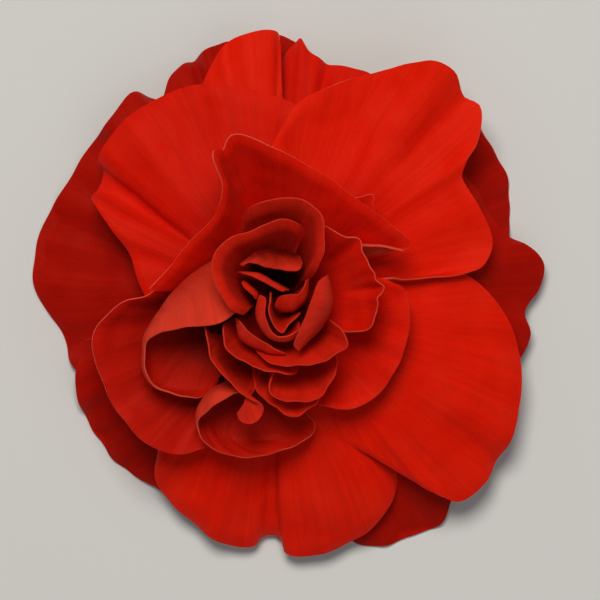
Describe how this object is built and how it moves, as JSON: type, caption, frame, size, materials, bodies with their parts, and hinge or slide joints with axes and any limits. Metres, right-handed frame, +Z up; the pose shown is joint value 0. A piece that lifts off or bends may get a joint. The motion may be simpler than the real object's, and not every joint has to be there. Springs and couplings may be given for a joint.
{
  "type": "double impatiens blossom",
  "caption": "Picked double impatiens blossom: scarlet ruffled petals wrapped in a rosette, with sepals, a curved spur and a short stem beneath.",
  "frame": {"origin": "middle of the underside of the blossom's bounding box, on the surface it lies on", "axes": "+Z up out of the open face, +Y towards the petals at the top of the face, +X to the right of the face"},
  "size_m": [0.0488, 0.05, 0.0198],
  "materials": {
    "petal": "soft scarlet petal, satin, with fine radial veins and a paler edge and back",
    "petal_outer": "deeper scarlet outer petal, satin, finely veined",
    "sepal": "pale green sepal, matt",
    "spur": "green lower sepal flushed red along the spur, matt",
    "stem": "juicy green flower stalk, satin",
    "receptacle": "pale green knob, matt"
  },
  "bodies": {
    "root": {"outer_petal_left": "petal_outer", "outer_petal_lower_left": "petal_outer", "bottom_petal": "petal", "outer_petal_lower_right": "petal_outer", "large_petal_lower_right": "petal", "outer_petal_right": "petal_outer", "outer_petal_upper_right": "petal_outer", "large_petal_upper_right": "petal", "top_petal_back_left": "petal_outer", "top_petal_back_right": "petal_outer", "top_petal": "petal", "top_petal_right": "petal", "large_petal_upper_left": "petal", "cup_petal_left": "petal", "cup_petal_right": "petal", "hood_petal": "petal", "hood_tip_petal": "petal", "lower_petal_front": "petal", "lower_petal_inner": "petal", "crumpled_petal": "petal", "thin_rim_petal": "petal", "lobe_petal": "petal", "arch_petal": "petal", "ring_petal": "petal", "fold_petal_left": "petal", "swirl_petal_lower": "petal", "swirl_petal_upper": "petal", "inner_fold_petal": "petal", "heart_petal_upper": "petal", "heart_petal_left": "petal", "heart_petal_right": "petal", "heart_petal_inner": "petal", "heart_petal_lower": "petal", "wrap_petal_right": "petal", "wrap_petal_lower_left": "petal", "side_sepal_left": "sepal", "side_sepal_right": "sepal", "spur_sepal": "spur", "receptacle": "receptacle", "pedicel": "stem"}
  },
  "joints": []
}
